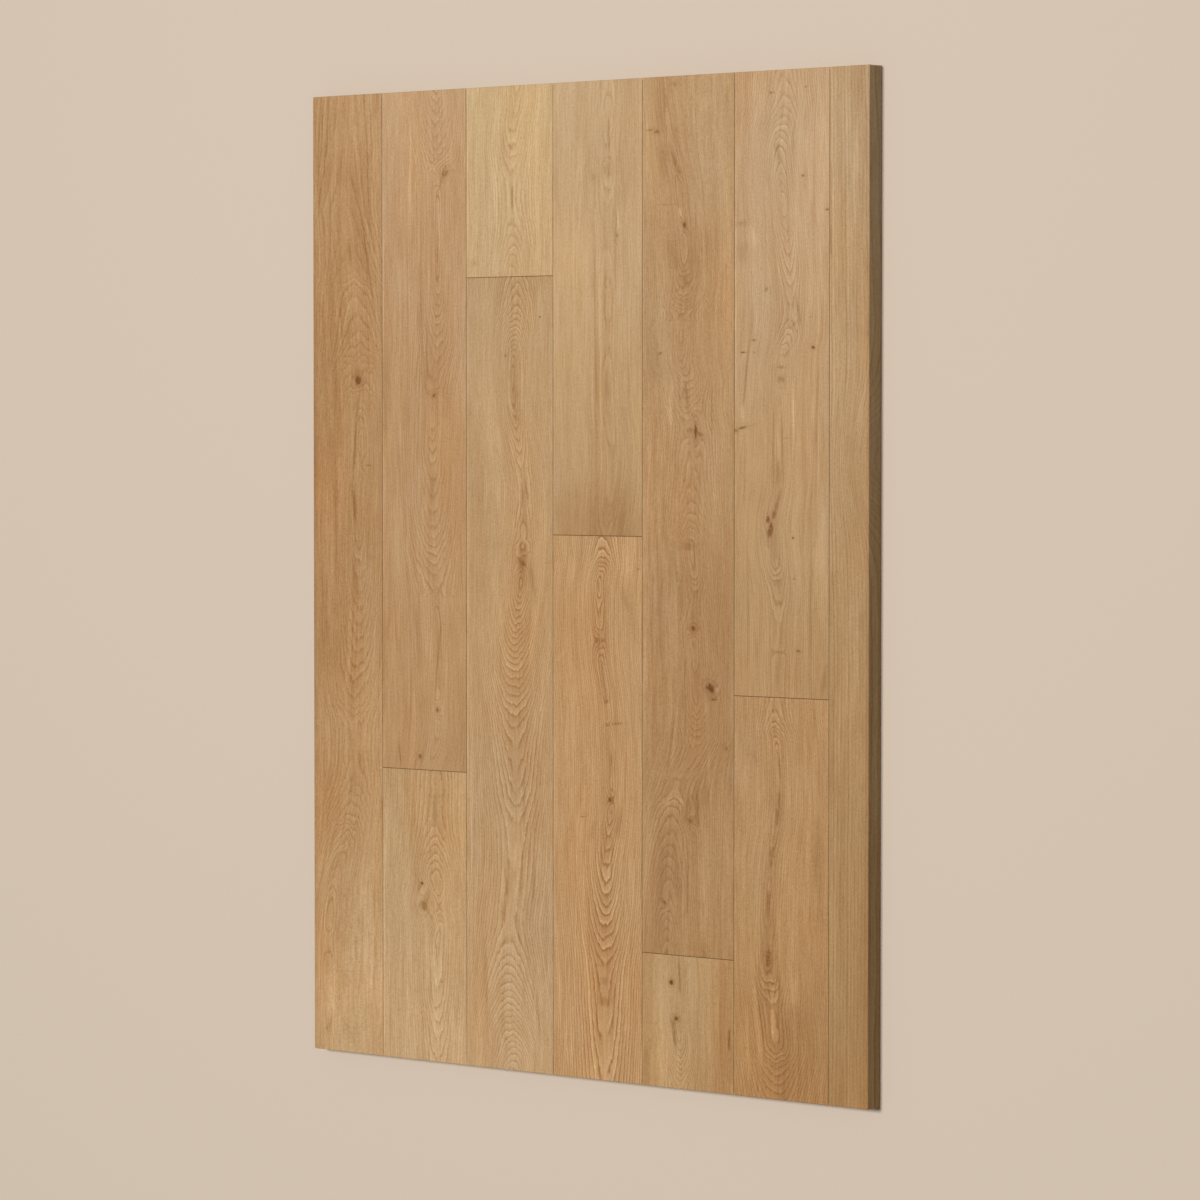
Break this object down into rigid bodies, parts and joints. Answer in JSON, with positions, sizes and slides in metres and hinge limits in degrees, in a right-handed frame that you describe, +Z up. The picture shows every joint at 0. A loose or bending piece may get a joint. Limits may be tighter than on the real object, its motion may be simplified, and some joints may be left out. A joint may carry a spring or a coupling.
{
  "type": "parquet floorboard panel",
  "caption": "Flat panel of solid oak parquet floorboards in staggered rows, joined by tongue and groove with micro-bevelled seams, trimmed square with eased edges.",
  "frame": {"origin": "middle of the panel's underside, on the floor that it lies on", "axes": "+X across the boards, +Y along the boards towards the head of the panel, +Z up out of the face"},
  "size_m": [0.75, 1.02, 0.02],
  "materials": {
    "oak_row_1_board": "satin",
    "oak_row_2_foot_board": "satin",
    "oak_row_2_head_board": "satin",
    "oak_row_3_foot_board": "satin",
    "oak_row_3_head_board": "satin",
    "oak_row_4_foot_board": "satin",
    "oak_row_4_head_board": "satin",
    "oak_row_5_foot_board": "satin",
    "oak_row_5_head_board": "satin",
    "oak_row_6_foot_board": "satin",
    "oak_row_6_head_board": "satin",
    "oak_row_7_board": "satin"
  },
  "bodies": {
    "root": {"row_1_board": "oak_row_1_board", "row_2_foot_board": "oak_row_2_foot_board", "row_2_head_board": "oak_row_2_head_board", "row_3_foot_board": "oak_row_3_foot_board", "row_3_head_board": "oak_row_3_head_board", "row_4_foot_board": "oak_row_4_foot_board", "row_4_head_board": "oak_row_4_head_board", "row_5_foot_board": "oak_row_5_foot_board", "row_5_head_board": "oak_row_5_head_board", "row_6_foot_board": "oak_row_6_foot_board", "row_6_head_board": "oak_row_6_head_board", "row_7_board": "oak_row_7_board"}
  },
  "joints": []
}
